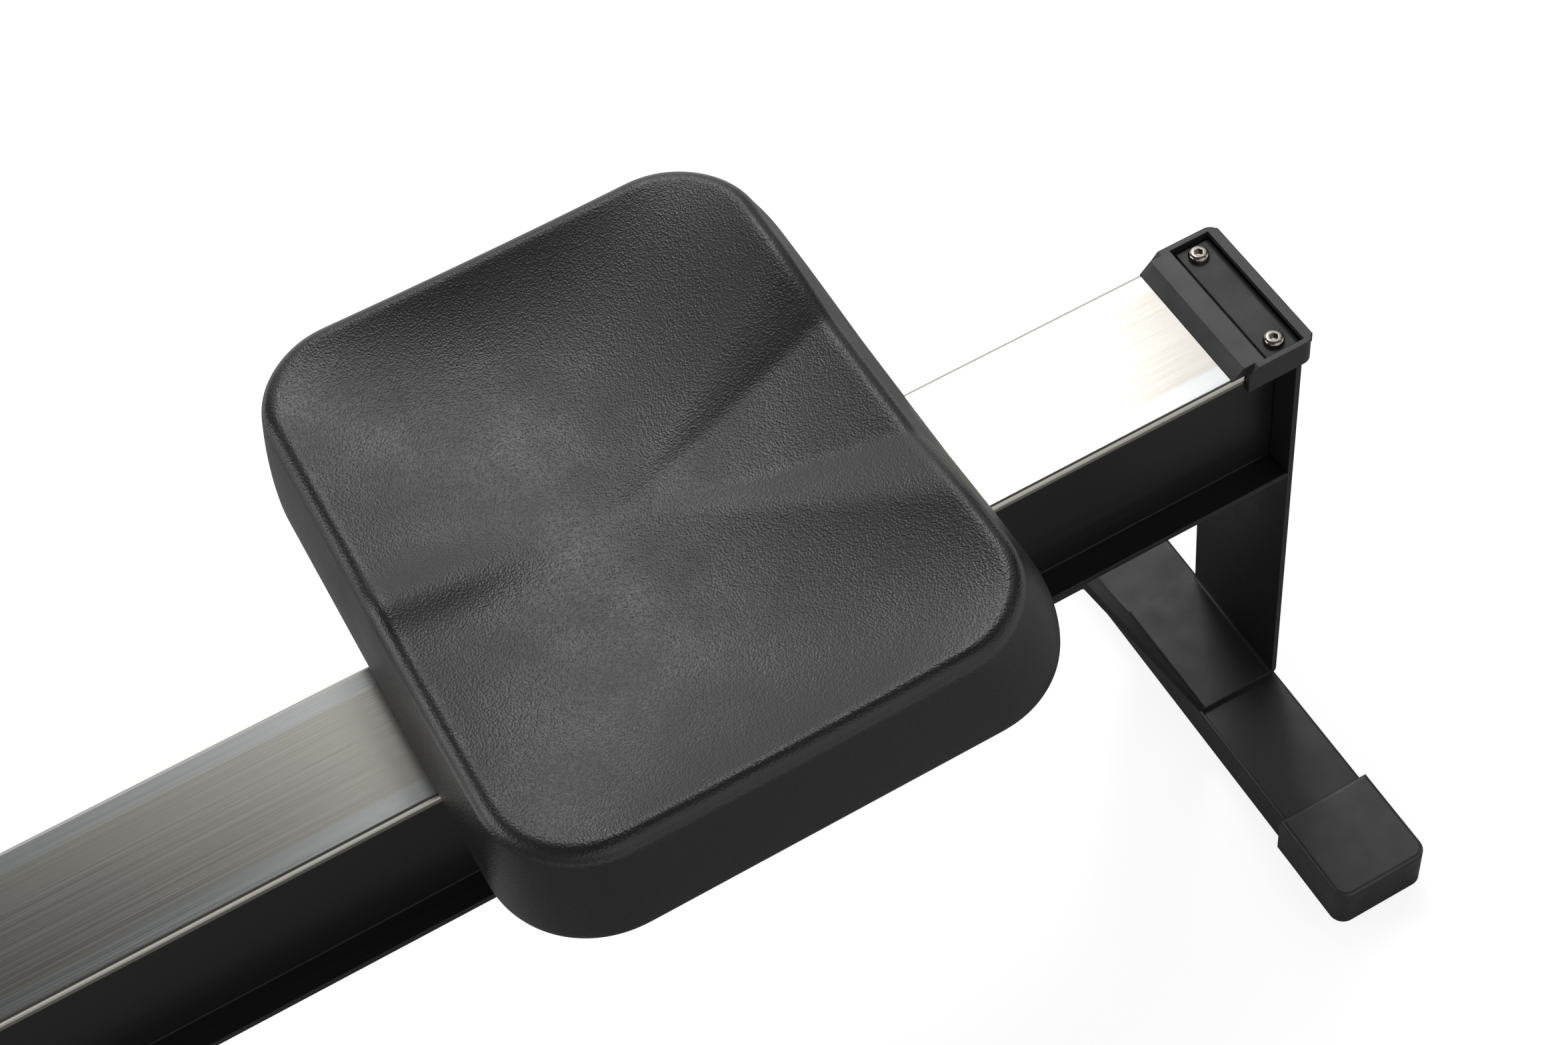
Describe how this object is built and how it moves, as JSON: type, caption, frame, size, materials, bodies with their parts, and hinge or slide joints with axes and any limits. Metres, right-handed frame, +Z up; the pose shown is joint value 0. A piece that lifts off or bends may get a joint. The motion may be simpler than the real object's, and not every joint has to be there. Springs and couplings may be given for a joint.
{
  "type": "rowing machine",
  "caption": "Air rowing machine: seat on rollers along a steel-topped monorail, caged fan, strap drive with handle, damper, footrests and tilting monitor.",
  "frame": {"origin": "on the floor under the middle of the whole machine at rest", "axes": "+X along the rail towards the rear leg, +Y to the right of a rower who sits facing the fan, +Z up"},
  "size_m": [2.3518, 0.57, 0.976],
  "materials": {
    "beam_black": "satin black anodised",
    "strip_steel": "brushed along its length",
    "frame_paint": "fine textured black powder coat",
    "cap_plastic": "moulded, light grain",
    "stop_plastic": "moulded, smooth satin",
    "screw_nickel": "dark nickel plate",
    "seat_foam": "integral skin with a pebble grain",
    "plain_steel": "turned",
    "zinc_steel": "bright zinc plate",
    "roller_plastic": "cast urethane",
    "guide_plastic": "acetal",
    "bumper_rubber": "matt",
    "fan_aluminium": "mill finish",
    "cage_plastic": "moulded, fine grain",
    "cover_plastic": "moulded, fine grain",
    "lever_plastic": "moulded grey",
    "belt_rubber": "ribbed",
    "strap_web": "woven webbing",
    "grip_foam": "closed cell foam",
    "wheel_rubber": "moulded",
    "monitor_plastic": "moulded",
    "screen_glass": "clear over a grey display",
    "key_rubber": "soft key",
    "spring_steel": "blued"
  },
  "bodies": {
    "frame": {"rail_beam": "beam_black", "rail_strip": "strip_steel", "rear_leg_bracket": "frame_paint", "rear_foot_bar": "frame_paint", "foot_caps": "cap_plastic", "rear_stop": "stop_plastic", "front_stop": "bumper_rubber", "rail_screws": "screw_nickel", "front_frame": "frame_paint", "frame_bolts": "zinc_steel", "front_foot_bar": "frame_paint", "shaft_bearings": "plain_steel", "fan_cage_left": "cage_plastic", "fan_cage_right": "cage_plastic", "drive_belt": "belt_rubber", "recoil_spring": "spring_steel", "body_cover_left": "cover_plastic", "body_cover_right": "cover_plastic", "casing_screws": "screw_nickel", "handle_holder": "cover_plastic", "footplate_left": "cover_plastic", "footplate_right": "cover_plastic", "foot_straps": "strap_web", "foot_buckles": "cap_plastic"},
    "seat": {"seat_cushion": "seat_foam", "seat_plate": "plain_steel", "seat_bolts": "zinc_steel", "seat_carriage": "frame_paint", "seat_axles": "plain_steel", "seat_roller_bearings": "plain_steel"},
    "roller_front_left": {"seat_roller_front_left": "roller_plastic"},
    "roller_front_right": {"seat_roller_front_right": "roller_plastic"},
    "roller_rear_left": {"seat_roller_rear_left": "roller_plastic"},
    "roller_rear_right": {"seat_roller_rear_right": "roller_plastic"},
    "guide_left": {"lower_roller_left": "guide_plastic"},
    "guide_right": {"lower_roller_right": "guide_plastic"},
    "wheel_left": {"transport_wheel_left": "wheel_rubber"},
    "wheel_right": {"transport_wheel_right": "wheel_rubber"},
    "fan": {"fan_wheel": "fan_aluminium", "fan_shaft": "plain_steel", "fan_pulley": "fan_aluminium"},
    "drive": {"drive_pulley": "fan_aluminium", "one_way_bearing": "plain_steel"},
    "drum": {"strap_drum": "guide_plastic", "drum_shaft": "plain_steel"},
    "handle": {"handle_bar": "frame_paint", "handle_grips": "grip_foam", "drive_strap": "strap_web"},
    "strap_roller": {"guide_roller": "guide_plastic"},
    "damper": {"damper_lever": "lever_plastic"},
    "arm": {"monitor_arm": "frame_paint"},
    "monitor": {"monitor_back": "monitor_plastic", "monitor_pin": "zinc_steel", "monitor_front": "monitor_plastic", "monitor_screen": "screen_glass"},
    "key_left": {"monitor_key_left": "key_rubber"},
    "key_middle": {"monitor_key_middle": "key_rubber"},
    "key_right": {"monitor_key_right": "key_rubber"},
    "heel_left": {"heel_cup_left": "cap_plastic"},
    "heel_right": {"heel_cup_right": "cap_plastic"}
  },
  "joints": [
    {"name": "seat_slide", "type": "slide", "parent": "frame", "child": "seat", "axis": [1, 0, 0], "range_m": [-0.943, 0.187]},
    {"name": "roller_front_left_spin", "type": "hinge", "parent": "seat", "child": "roller_front_left", "pos_m": [0.77615, 0.033, 0.339], "axis": [0, 1, 0], "range_deg": [-3300, 700]},
    {"name": "roller_front_right_spin", "type": "hinge", "parent": "seat", "child": "roller_front_right", "pos_m": [0.77615, -0.033, 0.339], "axis": [0, 1, 0], "range_deg": [-3300, 700]},
    {"name": "roller_rear_left_spin", "type": "hinge", "parent": "seat", "child": "roller_rear_left", "pos_m": [0.92615, 0.033, 0.339], "axis": [0, 1, 0], "range_deg": [-3300, 700]},
    {"name": "roller_rear_right_spin", "type": "hinge", "parent": "seat", "child": "roller_rear_right", "pos_m": [0.92615, -0.033, 0.339], "axis": [0, 1, 0], "range_deg": [-3300, 700]},
    {"name": "guide_left_spin", "type": "hinge", "parent": "seat", "child": "guide_left", "pos_m": [0.85115, 0.033, 0.3085], "axis": [0, 1, 0], "range_deg": [-1500, 7000]},
    {"name": "guide_right_spin", "type": "hinge", "parent": "seat", "child": "guide_right", "pos_m": [0.85115, -0.033, 0.3085], "axis": [0, 1, 0], "range_deg": [-1500, 7000]},
    {"name": "wheel_left_spin", "type": "hinge", "parent": "frame", "child": "wheel_left", "pos_m": [-1.00385, 0.192, 0.035], "axis": [0, 1, 0], "continuous": true},
    {"name": "wheel_right_spin", "type": "hinge", "parent": "frame", "child": "wheel_right", "pos_m": [-1.00385, -0.192, 0.035], "axis": [0, 1, 0], "continuous": true},
    {"name": "fan_spin", "type": "hinge", "parent": "frame", "child": "fan", "pos_m": [-0.92085, 0, 0.395], "axis": [0, 1, 0], "continuous": true},
    {"name": "drive_spin", "type": "hinge", "parent": "frame", "child": "drive", "pos_m": [-0.59085, 0, 0.47], "axis": [0, 1, 0], "continuous": true},
    {"name": "handle_pull", "type": "slide", "parent": "frame", "child": "handle", "axis": [1, 0, 0], "range_m": [0, 1.15], "stiffness_N_per_m": 12, "springref_m": -0.6, "deforming": ["drive_strap"]},
    {"name": "drum_spin", "type": "hinge", "parent": "frame", "child": "drum", "pos_m": [-0.59085, 0, 0.47], "axis": [0, 1, 0], "range_deg": [0, 1750]},
    {"name": "strap_roller_spin", "type": "hinge", "parent": "frame", "child": "strap_roller", "pos_m": [-0.51585, 0, 0.5267], "axis": [0, 1, 0], "range_deg": [0, 5600]},
    {"name": "damper_turn", "type": "hinge", "parent": "frame", "child": "damper", "pos_m": [-0.92085, 0, 0.395], "axis": [0, 1, 0], "range_deg": [0, 15]},
    {"name": "arm_swing", "type": "hinge", "parent": "frame", "child": "arm", "pos_m": [-0.68085, 0, 0.59], "axis": [0, 1, 0], "range_deg": [-40, 30]},
    {"name": "monitor_tilt", "type": "hinge", "parent": "arm", "child": "monitor", "pos_m": [-0.59585, 0, 0.89], "axis": [0, 1, 0], "range_deg": [-20, 20]},
    {"name": "key_left_press", "type": "slide", "parent": "monitor", "child": "key_left", "axis": [-0.9397, 0, -0.342], "range_m": [0, 0.0012], "stiffness_N_per_m": 400},
    {"name": "key_middle_press", "type": "slide", "parent": "monitor", "child": "key_middle", "axis": [-0.9397, 0, -0.342], "range_m": [0, 0.0012], "stiffness_N_per_m": 400},
    {"name": "key_right_press", "type": "slide", "parent": "monitor", "child": "key_right", "axis": [-0.9397, 0, -0.342], "range_m": [0, 0.0012], "stiffness_N_per_m": 400},
    {"name": "heel_left_slide", "type": "slide", "parent": "frame", "child": "heel_left", "axis": [-0.7071, 0, 0.7071], "range_m": [0, 0.06]},
    {"name": "heel_right_slide", "type": "slide", "parent": "frame", "child": "heel_right", "axis": [-0.7071, 0, 0.7071], "range_m": [0, 0.06]}
  ],
  "couplings": [
    {"joint": "roller_front_left_spin", "follows": "seat_slide", "rad_per_m": 58.824},
    {"joint": "roller_front_right_spin", "follows": "seat_slide", "rad_per_m": 58.824},
    {"joint": "roller_rear_left_spin", "follows": "seat_slide", "rad_per_m": 58.824},
    {"joint": "roller_rear_right_spin", "follows": "seat_slide", "rad_per_m": 58.824},
    {"joint": "guide_left_spin", "follows": "seat_slide", "rad_per_m": -120.48},
    {"joint": "guide_right_spin", "follows": "seat_slide", "rad_per_m": -120.48},
    {"joint": "drive_spin", "follows": "fan_spin", "ratio": 0.25455},
    {"joint": "drum_spin", "follows": "handle_pull", "rad_per_m": 25.445},
    {"joint": "strap_roller_spin", "follows": "handle_pull", "rad_per_m": 81.301}
  ]
}
